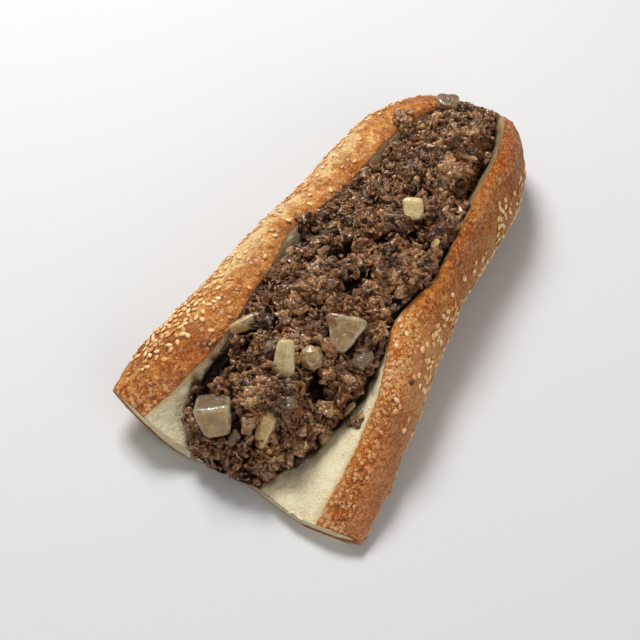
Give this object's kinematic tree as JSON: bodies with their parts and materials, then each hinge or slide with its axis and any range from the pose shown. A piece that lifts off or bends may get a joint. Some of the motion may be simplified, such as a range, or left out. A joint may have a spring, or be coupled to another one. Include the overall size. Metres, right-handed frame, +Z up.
{
  "type": "cheesesteak",
  "caption": "Long seeded bread roll, split and opened along its top, filled with chopped steak and pieces of onion; one end is a straight cut, the other the rounded end of the loaf.",
  "frame": {"origin": "on the surface the roll rests on, under the middle of its outline seen from above", "axes": "+Y along the roll from the cut end to the rounded end, +Z up, +X to the right seen from the cut end"},
  "size_m": [0.125, 0.2419, 0.0543],
  "materials": {
    "bread": "baked crust over pale crumb",
    "steak": "moist chopped meat",
    "onion": "soft cooked onion, wet",
    "seed": "toasted sesame"
  },
  "bodies": {
    "root": {"roll": "bread", "filling": "steak", "onion_block": "onion", "onion_wedge": "onion", "onion_corner": "onion", "onion_leaf": "onion", "onion_cube": "onion", "onion_slip": "onion", "onion_glossy": "onion", "onion_brown": "onion", "onion_end": "onion"}
  },
  "joints": []
}
